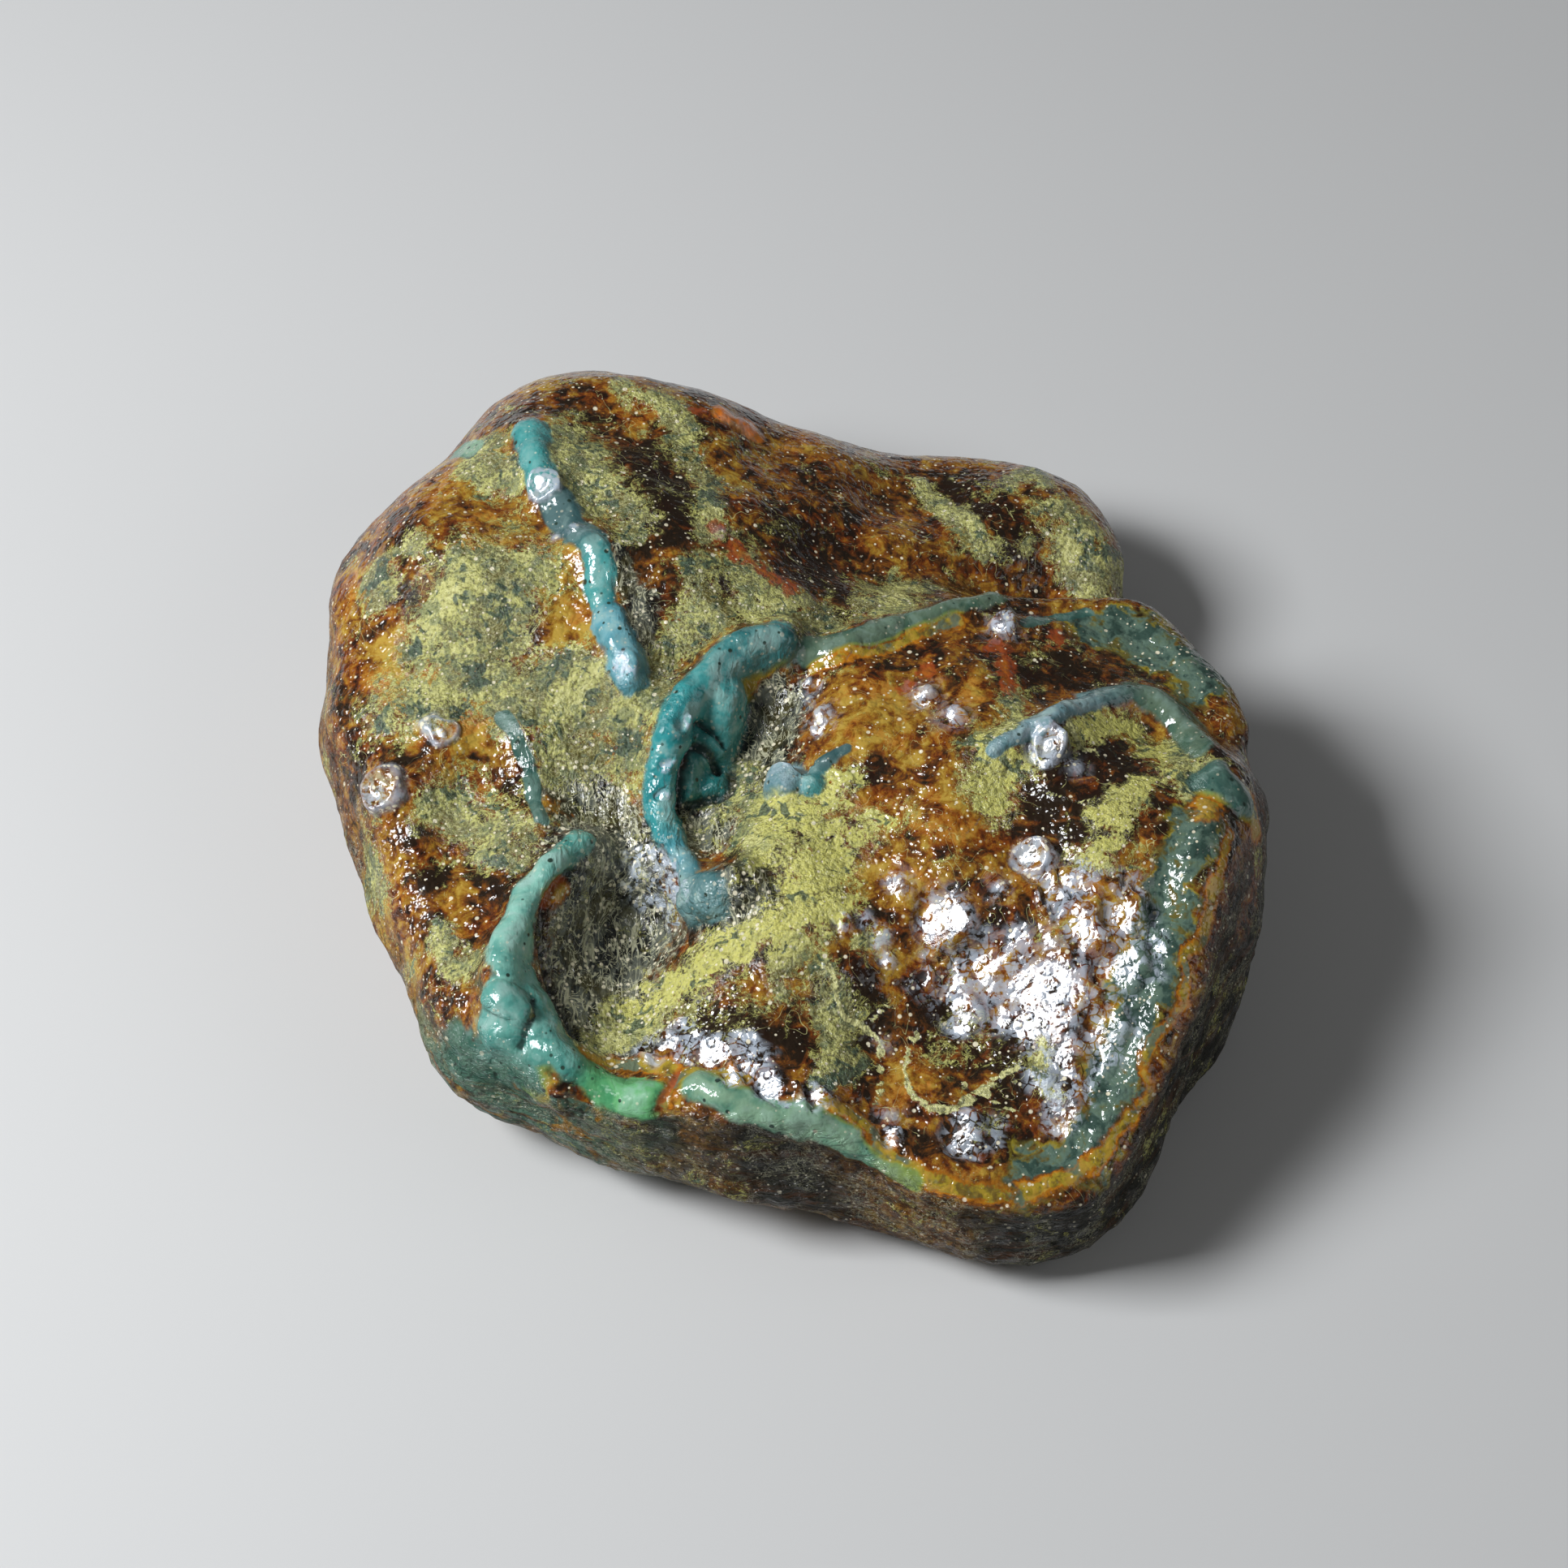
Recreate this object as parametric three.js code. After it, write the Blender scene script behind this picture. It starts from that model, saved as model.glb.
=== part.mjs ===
// A rough nugget of amber, as found: one lumpy stone with a worn flat foot to rest on.
// Its top has two lobes and a knob round a hollow, with rounded ridges on it like worms of wax.
// Millimetres, +Z up. +X is the stone's right and +Y its back. The origin is under its middle, at the foot.
import * as THREE from "three";
import { SimplexNoise } from "three/addons/math/SimplexNoise.js";
import { mergeVertices } from "three/addons/utils/BufferGeometryUtils.js";

// ---- Driving dimensions ----
const SPHERE_DETAIL = 13; // 20 * (detail + 1)^2 triangles, before the ridges get more
const CROWN_SHARE = 0.57; // share of the polar angle that goes to the top, inside the brow
const SIDE_SHARE = 0.26; // share that goes to the sides, from the brow down to the foot
const CROWN_HEIGHT = 15.0; // height of the top's middle, before its swells
const FOOT_INSET = 10.0; // how far the foot's edge lies inside the girdle
const FOOT_DIP = 0.8; // how far the underside would reach below the floor, had it not worn flat
const FINE_REACH = 1.45; // in half-widths: how far from its crest a ridge gets finer triangles
const GATHER = 0.35; // share by which points near a crest move closer to it
const CREST_POINTS = 3; // points per millimetre of a crest
const LUMPS = [[17, 0.9], [9, 0.7], [4, 0.2]]; // [wavelength, height] of its unevenness
const NOISE_SEED = 7;

// Rings have a station every 15 degrees, counter-clockwise from +X. Each is [radius, height].
// The girdle is where the stone is widest, and the brow is where its sides turn over into the top.
const GIRDLE = [
  [28.9, 5.5], [27.1, 6.0], [27.2, 7.0], [30.9, 6.0], [33.6, 6.0], [30.2, 6.5],
  [29.9, 8.0], [33.2, 8.5], [37.4, 9.0], [32.8, 9.0], [34.2, 9.5], [32.3, 9.5],
  [30.0, 9.0], [28.1, 8.5], [28.0, 7.0], [29.9, 6.5], [29.0, 5.5], [28.8, 5.5],
  [30.0, 5.0], [32.8, 4.5], [36.9, 4.0], [32.8, 4.0], [32.2, 4.5], [31.4, 5.0],
];
const BROW = [
  [27.0, 13.0], [24.5, 13.5], [22.5, 11.5], [25.0, 9.5], [26.0, 10.5], [24.0, 11.5],
  [24.5, 13.5], [26.5, 15.5], [31.0, 16.4], [28.5, 16.0], [27.5, 15.5], [26.0, 15.0],
  [24.5, 14.0], [24.0, 13.5], [25.0, 12.0], [27.0, 10.5], [27.0, 10.8], [26.8, 11.5],
  [27.4, 12.0], [31.0, 9.8], [34.2, 8.8], [30.8, 12.0], [27.4, 14.0], [27.2, 14.0],
];

// Soft swells (up) and hollows (down) of the top: middle, half-widths, turn in degrees and height.
const SWELLS = [
  { name: "back left lobe", at: [-14, 15], half: [14, 11], turn: -35, height: 3.0 },
  { name: "front lobe", at: [13, -5], half: [13, 14], turn: 0, height: 3.4 },
  { name: "dish of the front lobe", at: [8, -17], half: [7, 7], turn: 0, height: -1.3 },
  { name: "hump of the front lobe", at: [10.5, -12.5], half: [3, 3], turn: 0, height: 0.7 },
  { name: "right shoulder", at: [20, -16], half: [4.5, 9], turn: -10, height: 1.2 },
  { name: "back knob", at: [17, 20], half: [6, 6], turn: -30, height: 1.5 },
  { name: "foot of the front ridge", at: [-17, -21], half: [3, 3], turn: 0, height: 1.5 },
  { name: "saddle behind the front lobe", at: [15, 15], half: [12, 3], turn: 0, height: -3.0 },
  { name: "front hollow", at: [-10, -13], half: [4.5, 8], turn: -12, height: -5.0 },
  { name: "upper hollow", at: [-2, 0], half: [3.5, 5], turn: -15, height: -3.0 },
  { name: "hump in the front hollow", at: [-9.5, -9.5], half: [2, 1.6], turn: 0, height: 1.4 },
];

// Rounded ridges: the crest's route on the plan, half-width and height.
const RIDGES = [
  {
    name: "back ridge",
    route: [[-17.5, 23], [-16.8, 18], [-14.4, 14.5], [-12.4, 11], [-11.8, 7.5], [-10.6, 3]],
    half: 1.9,
    height: 1.0,
  },
  {
    name: "middle ridge",
    route: [[-0.6, 5.5], [-4, 3.6], [-6.7, 0], [-8, -3.5], [-8.4, -6.8], [-7.4, -9.8], [-6, -12], [-3.6, -12.6]],
    half: 2.3,
    height: 2.1,
  },
  {
    name: "front ridge",
    route: [[-12.8, -8.8], [-14.8, -11.5], [-17, -15.5], [-17.3, -18.7], [-15.4, -21.5], [-13.6, -24]],
    half: 2.3,
    height: 2.2,
  },
  {
    name: "front lip",
    route: [[-13.6, -24], [-10.3, -26.2], [-6, -26], [-2.9, -27], [1, -27.9], [5.8, -29.5], [9.7, -30.9],
      [13.1, -31.3], [17, -30.3], [20.3, -26.3], [22.4, -21.6], [23.6, -16.2], [25.2, -11], [26.8, -7]],
    half: 1.9,
    height: 1.0,
  },
  {
    name: "right ridge",
    route: [[13, -4.4], [15.8, -2.6], [18.6, 0], [21.7, 1.2], [24.2, 0], [26, -3], [26.8, -7]],
    half: 1.9,
    height: 1.0,
  },
  {
    name: "back rim",
    route: [[2.5, 5.2], [7, 7.4], [11, 8.6], [14, 10.2], [18.5, 10.6], [22.8, 9.6], [26.4, 5.4], [27.5, 1]],
    half: 2,
    height: 1.1,
  },
  {
    name: "left ridge",
    route: [[-17.3, -0.4], [-16.4, -3.6], [-15.7, -6.8]],
    half: 1.5,
    height: 0.5,
  },
];

// Drops of the same wax-like stuff: [x, y, half-width, height].
const DROPS = [
  [-26.2, -4.8, 2.4, 0.8],
  [-22.0, -1.3, 2.1, 0.7],
  [-10.6, 1.6, 1.8, 0.8],
  [-0.5, -6.3, 1.4, 0.6],
  [3.9, -18.6, 1.8, 0.6],
  [8.9, -15.9, 1.8, 0.6],
  [13.5, 7.2, 1.5, 0.7],
  [15.6, -5.6, 2.0, 0.8],
  [14.4, -12.2, 1.7, 0.7],
  [26.6, -7.6, 2.2, 0.9],
];

// ---- Helpers ----
const FULL_TURN = 2 * Math.PI;

function smoothstep(t) {
  const s = THREE.MathUtils.clamp(t, 0, 1);
  return s * s * (3 - 2 * s);
}

// Radius and height of a ring at an azimuth, on a smooth closed curve through its stations.
function ringAt(ring, azimuth) {
  const place = THREE.MathUtils.euclideanModulo(azimuth / FULL_TURN, 1) * ring.length;
  const first = Math.floor(place);
  const t = place - first;
  const station = (offset) => ring[(first + offset + ring.length) % ring.length];
  return [0, 1].map((k) => {
    const [a, b, c, d] = [-1, 0, 1, 2].map((offset) => station(offset)[k]);
    return b + 0.5 * t * (c - a + t * (2 * a - 5 * b + 4 * c - d + t * (3 * (b - c) + d - a)));
  });
}

// A seeded stand-in for Math.random, so that the noise is the same in every build.
function seededRandom(seed) {
  let state = seed;
  return { random: () => (state = (state * 16807) % 2147483647) / 2147483647 };
}

const noise = new SimplexNoise(seededRandom(NOISE_SEED));

// ---- The stone's body: crown, sides and underside ----
// The point of the plain body that a direction from the middle of a unit sphere stands for.
function bodyPoint(direction) {
  const azimuth = Math.atan2(direction.y, direction.x);
  const polar = Math.acos(THREE.MathUtils.clamp(direction.z, -1, 1)) / Math.PI;
  const [girdleRadius, girdleHeight] = ringAt(GIRDLE, azimuth);
  const [browRadius, browHeight] = ringAt(BROW, azimuth);
  const footRadius = girdleRadius - FOOT_INSET;
  let radius;
  let height;
  if (polar < CROWN_SHARE) {
    const out = polar / CROWN_SHARE;
    radius = browRadius * out;
    height = CROWN_HEIGHT + (browHeight - CROWN_HEIGHT) * out * out;
  } else if (polar < CROWN_SHARE + SIDE_SHARE) {
    // Two quarter-ellipses that meet upright at the girdle.
    const turn = Math.PI * (polar - CROWN_SHARE) / SIDE_SHARE;
    const upper = turn < Math.PI / 2;
    const innerRadius = upper ? browRadius : footRadius;
    const endHeight = upper ? browHeight : -FOOT_DIP;
    radius = innerRadius + (girdleRadius - innerRadius) * Math.sin(turn);
    height = girdleHeight + (endHeight - girdleHeight) * Math.abs(Math.cos(turn));
  } else {
    radius = footRadius * (1 - polar) / (1 - CROWN_SHARE - SIDE_SHARE);
    height = -FOOT_DIP;
  }
  return new THREE.Vector3(radius * Math.cos(azimuth), radius * Math.sin(azimuth), height);
}

// ---- Relief of the top ----
function swellAt({ at, half, turn, height }, p) {
  const angle = THREE.MathUtils.degToRad(turn);
  const dx = p.x - at[0];
  const dy = p.y - at[1];
  const along = (dx * Math.cos(angle) + dy * Math.sin(angle)) / half[0];
  const across = (dy * Math.cos(angle) - dx * Math.sin(angle)) / half[1];
  return height * Math.exp(-(along * along + across * across));
}

// What stands out of the top: ridges along a crest, and drops, whose crest is one point.
const RAISED = [
  ...RIDGES.map(({ route, half, height }) => {
    const curve = new THREE.CatmullRomCurve3(route.map(([x, y]) => new THREE.Vector3(x, y, 0)));
    return { crest: curve.getSpacedPoints(Math.ceil(curve.getLength() * CREST_POINTS)), half, height };
  }),
  ...DROPS.map(([x, y, half, height]) => ({ crest: [new THREE.Vector3(x, y, 0)], half, height })),
];

// The nearest crest point on the plan, and how far off it is in half-widths.
function nearestCrest({ crest, half }, p) {
  let nearest = null;
  let least = Infinity;
  for (const c of crest) {
    const distance = Math.hypot(c.x - p.x, c.y - p.y);
    if (distance < least) [nearest, least] = [c, distance];
  }
  return { nearest, off: least / half };
}

function raisedAt(p) {
  const heights = RAISED.map((form) => {
    const { off } = nearestCrest(form, p);
    return off < 1 ? form.height * (1 - off * off) ** 1.5 : 0;
  });
  return Math.max(...heights);
}

// Draws a point of the top towards the crest nearest to it, so that crests get more points.
function gather(p) {
  const crests = RAISED.map((form) => nearestCrest(form, p));
  const { nearest, off } = crests.reduce((a, b) => (b.off < a.off ? b : a));
  const pull = GATHER * Math.exp(-off * off);
  p.x += (nearest.x - p.x) * pull;
  p.y += (nearest.y - p.y) * pull;
}

// ---- Mesh ----
// Splits every edge whose middle passes the test, and each triangle to match.
function refine(directions, triangles, wanted) {
  const middles = new Map();
  const middle = (a, b) => {
    const key = a < b ? `${a} ${b}` : `${b} ${a}`;
    if (!middles.has(key)) {
      const point = directions[a].clone().add(directions[b]).normalize();
      middles.set(key, wanted(point) ? directions.push(point) - 1 : null);
    }
    return middles.get(key);
  };
  return triangles.flatMap(([a, b, c]) => {
    const [ab, bc, ca] = [middle(a, b), middle(b, c), middle(c, a)];
    if (ab !== null && bc !== null && ca !== null) {
      return [[a, ab, ca], [ab, b, bc], [ca, bc, c], [ab, bc, ca]];
    }
    const loop = [ab, b, bc, c, ca, a];
    const start = loop.findIndex((v, k) => v !== null && k % 2 === 0);
    if (start < 0) return [[a, b, c]];
    const fan = [...loop.slice(start), ...loop.slice(0, start)].filter((v) => v !== null);
    return fan.slice(2).map((v, k) => [fan[0], fan[k + 1], v]);
  });
}

function isFine(direction) {
  const polar = Math.acos(direction.z) / Math.PI;
  if (polar > CROWN_SHARE + SIDE_SHARE / 4) return false;
  const p = bodyPoint(direction);
  return RAISED.some((form) => nearestCrest(form, p).off < FINE_REACH);
}

function sphereMesh() {
  const sphere = new THREE.IcosahedronGeometry(1, SPHERE_DETAIL);
  sphere.deleteAttribute("normal");
  sphere.deleteAttribute("uv");
  const merged = mergeVertices(sphere);
  const positions = merged.attributes.position;
  const corners = merged.index.array;
  const directions = Array.from({ length: positions.count }, (_, i) =>
    new THREE.Vector3().fromBufferAttribute(positions, i).normalize());
  const triangles = Array.from({ length: corners.length / 3 }, (_, t) =>
    [corners[3 * t], corners[3 * t + 1], corners[3 * t + 2]]);
  return { directions, triangles: refine(directions, triangles, isFine) };
}

function geometryOf(points, triangles) {
  const geometry = new THREE.BufferGeometry();
  geometry.setFromPoints(points);
  geometry.setIndex(triangles.flat());
  geometry.computeVertexNormals();
  return geometry;
}

function stoneGeometry() {
  const { directions, triangles } = sphereMesh();
  const points = directions.map(bodyPoint);
  const normals = geometryOf(points, triangles).attributes.normal;
  const normal = new THREE.Vector3();
  points.forEach((p, i) => {
    normal.fromBufferAttribute(normals, i);
    const top = smoothstep(2 * normal.z);
    const uneven = LUMPS.reduce((sum, [size, height]) =>
      sum + height * noise.noise3d(p.x / size, p.y / size, p.z / size), 0);
    if (top > 0) {
      gather(p);
      const swells = SWELLS.reduce((sum, swell) => sum + swellAt(swell, p), 0);
      p.addScaledVector(normal, top * (swells + raisedAt(p)));
    }
    p.addScaledVector(normal, uneven);
    p.z = Math.max(0, p.z);
  });
  const geometry = geometryOf(points, triangles);
  geometry.computeBoundingBox();
  const middle = geometry.boundingBox.getCenter(new THREE.Vector3());
  return geometry.translate(-middle.x, -middle.y, 0);
}

const amber = new THREE.MeshStandardMaterial({ color: 0x6b4a22, roughness: 0.3, metalness: 0 });
const stone = new THREE.Mesh(stoneGeometry(), amber);
stone.name = "amber_nugget";

const nugget = new THREE.Group();
nugget.add(stone);

export default nugget;
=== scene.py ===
"""The looks of the rough amber nugget: its fine skin, its mottled wet finish, a floor, light and a camera.

Plan places are (x, y) in millimetres from the middle of the stone's footprint, x to its right and y to
its back, on a stone of DRAWN_LENGTH. They scale with the frame's own length.
"""
import math

import bmesh
import bpy
import numpy as np
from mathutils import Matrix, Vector, kdtree, noise


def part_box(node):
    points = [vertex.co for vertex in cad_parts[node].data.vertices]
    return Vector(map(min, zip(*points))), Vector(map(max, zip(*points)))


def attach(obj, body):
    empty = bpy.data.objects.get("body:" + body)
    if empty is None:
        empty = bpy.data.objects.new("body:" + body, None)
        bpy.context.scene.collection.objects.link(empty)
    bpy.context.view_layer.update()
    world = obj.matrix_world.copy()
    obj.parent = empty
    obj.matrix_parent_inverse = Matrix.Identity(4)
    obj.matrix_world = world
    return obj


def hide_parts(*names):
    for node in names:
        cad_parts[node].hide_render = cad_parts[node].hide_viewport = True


MM = 0.001
NODE = "amber_nugget"
DRAWN_LENGTH = 66.1  # millimetres from front to back, for which the plan places below are written
SKIN_LEVELS = 2  # subdivisions between the solid's facets and the fine skin
TOP_FACING = 0.35  # the least upward part of a normal that counts as the stone's top
OUT_OF_REACH = 1e3  # the distance given to points that lie beyond a mark's reach
CREST_SPACING = 0.25  # millimetres between the points along a route

# ---- Colours, linear ----
UMBER = (0.020, 0.011, 0.005)
BROWN = (0.080, 0.030, 0.008)
RUST = (0.180, 0.055, 0.008)
OCHRE = (0.330, 0.160, 0.014)
GOLD = (0.500, 0.320, 0.050)
OLIVE = (0.150, 0.125, 0.028)
GREY_OLIVE = (0.240, 0.240, 0.100)
PALE_OLIVE = (0.560, 0.550, 0.165)
LEMON = (0.700, 0.670, 0.170)
LICHEN = (0.740, 0.720, 0.310)
MOSS = (0.024, 0.050, 0.036)
SEA_MOSS = (0.075, 0.130, 0.085)
# Charcoal: the hollows, and the painted shade in the creases.
CHARCOAL = (0.011, 0.012, 0.011)
STRAW = (0.560, 0.550, 0.370)
ORANGE = (0.520, 0.190, 0.010)
YELLOW = (0.400, 0.320, 0.030)
LIME = (0.230, 0.320, 0.080)
RED = (0.400, 0.075, 0.016)
FLAME = (0.900, 0.240, 0.025)
# Pale gold of the painted glints on the specks.
PAINTED_GLINT = (0.950, 0.870, 0.640)
TEAL = (0.075, 0.350, 0.335)
CYAN = (0.040, 0.330, 0.340)
DUSK_TEAL = (0.065, 0.245, 0.245)
# Deep teal: the worm's right flank, partly painted shade.
DEEP_TEAL_AND_SHADE = (0.036, 0.250, 0.235)
SKY_TEAL = (0.140, 0.380, 0.440)
MINT = (0.250, 0.530, 0.430)
JADE = (0.120, 0.370, 0.310)
SEA_GREEN = (0.240, 0.400, 0.260)
GREEN = (0.140, 0.420, 0.170)
GREY_TEAL = (0.085, 0.170, 0.135)
SAGE = (0.125, 0.190, 0.125)
# Pale wax: its cloudy patches, and the painted light on its crests.
PALE_WAX = (0.420, 0.600, 0.540)
SLATE = (0.090, 0.165, 0.165)
MIST = (0.130, 0.255, 0.260)
DEEP_SAGE = (0.040, 0.080, 0.062)
BAND_TEAL = (0.120, 0.190, 0.145)
ICE = (0.270, 0.400, 0.430)
# Milk: the wax drops' own milk-white tint, and the colour of painted highlights.
MILK_AND_HIGHLIGHT = (0.540, 0.610, 0.700)
# The walls' dark greys: partly their own colour, partly painted shade on the walls away from the light.
WALL_GREY = (0.024, 0.024, 0.016)
WALL_DARK = (0.010, 0.009, 0.006)
WALL_GREEN = (0.070, 0.150, 0.100)
# Hollow grey, lightened with painted sheen.
HOLLOW_GREY_AND_SHEEN = (0.130, 0.140, 0.112)

# ---- Wax: the blue-green ridges, drops and lip. Colour, half-width, height over the solid and route. ----
WAX = [
    (TEAL, 1.2, 0.2, [(-17, 22), (-16.5, 18.5), (-16, 17)]),
    (SLATE, 1.2, 0.0, [(-15, 15), (-13.8, 12.8), (-13, 11.5)]),
    (TEAL, 1.0, 0.3, [(-12.6, 10.8), (-12, 9), (-11.7, 7.4)]),
    (SKY_TEAL, 1.2, 0.4, [(-11.3, 6), (-10.5, 4), (-10, 2)]),
    (DUSK_TEAL, 1.5, 0.4, [(-0.6, 4.2), (-2.6, 3.3), (-4, 2)]),
    (TEAL, 1.7, 0.5, [(-4.2, 1.6), (-5.2, 0.4)]),
    (CYAN, 1.4, 0.6, [(-5.9, 0), (-6.6, -1.6), (-6.9, -2.6)]),
    # Darker teal on the worm's right flank, here and below: partly its own colour, partly painted shade.
    (DEEP_TEAL_AND_SHADE, 1.2, 0.2, [(-5.4, -1.6), (-5.4, -3), (-6.1, -4.6)]),
    (CYAN, 1.1, 0.5, [(-7, -3), (-7.5, -4.2), (-7.8, -5.2)]),
    (CYAN, 1.1, 0.5, [(-7.8, -5.4), (-7.6, -6.6), (-7, -8)]),
    (TEAL, 1.7, 1.2, [(-3.9, 0.8), (-4.1, -0.6), (-4.7, -1.8)]),
    (DEEP_TEAL_AND_SHADE, 1.0, 0.5, [(-4.6, -4)]),
    (SKY_TEAL, 0.8, 0.4, [(-6.9, -8.4), (-6.4, -9.8), (-6.1, -10.8)]),
    (MIST, 0.9, 0.4, [(-6.1, -10.8), (-6, -11.6)]),
    (MIST, 1.7, 0.7, [(-5.8, -12.9), (-4.8, -13.4)]),
    (JADE, 0.9, 0.2, [(-12.9, -8.7), (-14.2, -10.6)]),
    (MINT, 1.2, 0.4, [(-14.2, -10.8), (-15.8, -12.6), (-16.5, -14.6)]),
    (MINT, 1.4, 0.5, [(-16.7, -15.5), (-16.8, -17.2), (-16.6, -18.6)]),
    (JADE, 1.3, 0.4, [(-15.8, -18.8), (-14.8, -20.6), (-13.8, -22.9), (-12.8, -24.2)]),
    (JADE, 1.8, 0.6, [(-16.9, -21.4), (-17.3, -22.2)]),
    (JADE, 1.5, 0.2, [(-15.4, -21.4), (-15.2, -23.4)]),
    (WALL_GREEN, 2.2, 0.1, [(-20.4, -22.8), (-19.2, -24.0), (-16.4, -24.8)]),
    (GREEN, 1.3, 0.3, [(-11.6, -24.7), (-10.3, -25.4), (-9, -26.4), (-8.3, -26.8)]),
    (SEA_GREEN, 1.1, 0.2, [(-5.4, -26.4), (-2.5, -27.8), (1.5, -28.6)]),
    (SEA_GREEN, 0.9, 0.1, [(1.5, -28.6), (4, -29.4), (5.6, -30.4)]),
    (LIME, 0.8, 0.1, [(5.6, -30.4), (7.6, -31.4)]),
    (ICE, 0.5, 0.3, [(13, -4.8), (14.2, -4), (15.3, -3.2)]),
    (ICE, 0.8, 0.4, [(15.3, -3.2), (17.8, -1), (19, 0)]),
    (SLATE, 1.0, 0.3, [(19.4, 0.4), (21.8, 1.6)]),
    (SAGE, 1.2, 0.2, [(22.1, 1.7), (24.6, 0.4), (26, -3)]),
    (GREY_TEAL, 1.3, 0.4, [(26.5, -6.5), (28, -7.5)]),
    (SAGE, 0.9, 0.1, [(1.5, 4.5), (5, 5.5), (7.5, 7), (10, 8), (13.5, 10)]),
    (SEA_GREEN, 0.8, 0.0, [(-21.8, 23.4), (-20.8, 21.8)]),
    (GREY_TEAL, 0.45, 0.1, [(15.6, 7.5), (17.3, 8.4), (19.6, 9.7)]),
    (GREY_TEAL, 0.45, 0.1, [(-18, 0.5), (-16.8, -1.9), (-16, -4), (-15.4, -7.2)]),
    (FLAME, 1.1, 0.2, [(-3.9, 25.8), (-2.4, 25.6)]),
    (ICE, 1.5, 1.3, [(0.1, -5.6)]),
    (TEAL, 0.9, 0.9, [(1.7, -6.1)]),
    (SLATE, 0.6, 0.5, [(2, -5.1), (2.8, -4.6)]),
    (SLATE, 0.4, 0.3, [(2.8, -4.6), (3.7, -4.1)]),
]

# Grooves beside the wax, painted with shade and with the edges' red: half-width, depth and route.
CREASES = [
    (0.4, 0.6, [(-4.3, -2.9), (-5.6, -2.3), (-6.2, -3.4), (-6.6, -5), (-6.7, -6.1)]),
    (0.3, 0.5, [(-5.9, -1.4), (-5.3, -1), (-4.6, -1.4)]),
    (0.4, 0.4, [(-3.4, -3), (-3.6, -4.6), (-5.2, -5), (-6.2, -5.5)]),
    (0.4, 0.4, [(-13.4, -11.2), (-14.6, -13.2), (-15, -16), (-14.2, -18.6), (-12.8, -21.6)]),
    (0.4, 0.3, [(-3.4, -11), (-2.4, -13.5)]),
    (0.3, 0.25, [(-15.5, -20.6), (-15.4, -21.9), (-15.9, -23.3)]),
    (0.35, 0.3, [(-6.6, -24.7), (-6.9, -26), (-7.6, -27.3)]),
]

# ---- Stains, growths, painted shade and glitter: (half-width, route) ----
FUZZ = [
    (2.6, [(-19, 10), (-21.5, 7.5), (-22, 5.5)]),
    (2.2, [(-18, 10), (-19, 5.5), (-20.5, 3.5)]),
    (1.0, [(-24, 13)]),
    (1.2, [(-26.5, 11.5), (-26, 10)]),
    (1.6, [(-25.5, 1.5), (-23, 1), (-20, 2), (-17, 2)]),
    (2.2, [(-17, 1.5), (-14, 2), (-12, 0.5), (-8.5, 0.5)]),
    (1.8, [(-15, 21.5), (-13.5, 18.5), (-12.5, 17)]),
    (1.1, [(-11.5, 15.5), (-9.5, 13)]),
    (1.1, [(-10.5, 27), (-8, 26), (-6.5, 21.5), (-5, 18), (-5, 14)]),
    (1.5, [(-20, 21), (-18.5, 18.5)]),
    (1.4, [(-5.5, 10), (-5.5, 6.5), (-6, 5)]),
    (1.6, [(-2.5, 10), (-0.5, 8.5), (2, 7)]),
    (1.9, [(6, 9.5), (7.5, 12.5)]),
    (0.8, [(9, 24), (10.5, 22), (12.5, 20), (13.5, 18), (16, 18.5)]),
    (0.8, [(15, 24), (17, 26), (18, 24)]),
    (1.6, [(19, 19.5), (20.5, 17.5), (22, 18.5)]),
    (1.3, [(20, 21), (18.5, 22)]),
    (0.9, [(18, -3.5), (20, -1.5), (21.5, -1.5), (22.5, -4)]),
    (1.6, [(13, -5.5), (13, -8)]),
    (0.9, [(23.5, -5.5), (22, -7.5), (20, -10), (19.5, -12.5)]),
    (1.4, [(24, -3.5), (25, -6.5)]),
    (2.1, [(0.9, -7.7), (3.0, -10.4), (1.4, -12.5)]),
    (0.9, [(3.6, -9.8), (3.8, -11.0)]),
    (1.9, [(2, -12.5), (1, -15), (-0.5, -16.5)]),
    (1.5, [(0, -15.5), (-3, -17), (-5.5, -18), (-8, -18.5), (-9.5, -20)]),
    (1.0, [(-13, -23.5), (-11, -21.5), (-8.5, -20.5)]),
    (0.7, [(0, -17.5), (0, -20.5)]),
    (1.0, [(2.5, -19.5), (3, -22), (2.5, -25), (3.5, -24)]),
    (0.7, [(15.6, -24.2), (16.2, -25.7)]),
    (0.6, [(4.5, -16.8), (4.9, -17.6)]),
    (1.8, [(-22, -5.5), (-20, -6.5), (-17.5, -8.5)]),
    (1.0, [(-21, -15), (-19.5, -17.5), (-19, -17.5)]),
    (0.8, [(12.5, -4.5), (14, -2.5), (14.5, -0.5)]),
    (1.6, [(-14, -2), (-11.5, -2), (-9.5, -2.5)]),
    (1.4, [(-3.5, -3.5), (-2, -7), (-1.5, -11)]),
    (1.0, [(-27.5, -6.5), (-25.5, -10)]),
]
# Charcoal hollows, with painted shade along the right sides of two ridges.
DARK_HOLLOWS_AND_SHADE = [
    (4.0, [(-11.5, -9.5), (-10, -11), (-11.5, -16), (-11, -19.5)]),
    # Painted shade along the right side of the front ridge.
    (1.6, [(-13, -12), (-13, -15.5), (-12.5, -20), (-11.5, -21.5)]),
    (2.5, [(-2, 2), (-1, 0), (-2, -3)]),
    (2.2, [(-8.5, -8), (-4.5, -7)]),
    (2.0, [(-14, -2.5), (-12, -5), (-10, -7)]),
    # Painted shade along the right side of the back ridge.
    (0.9, [(-10.6, 11.5), (-10, 9), (-9.2, 6), (-8.4, 3.4)]),
    (2.0, [(-2, -14), (-3.5, -15)]),
]
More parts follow.
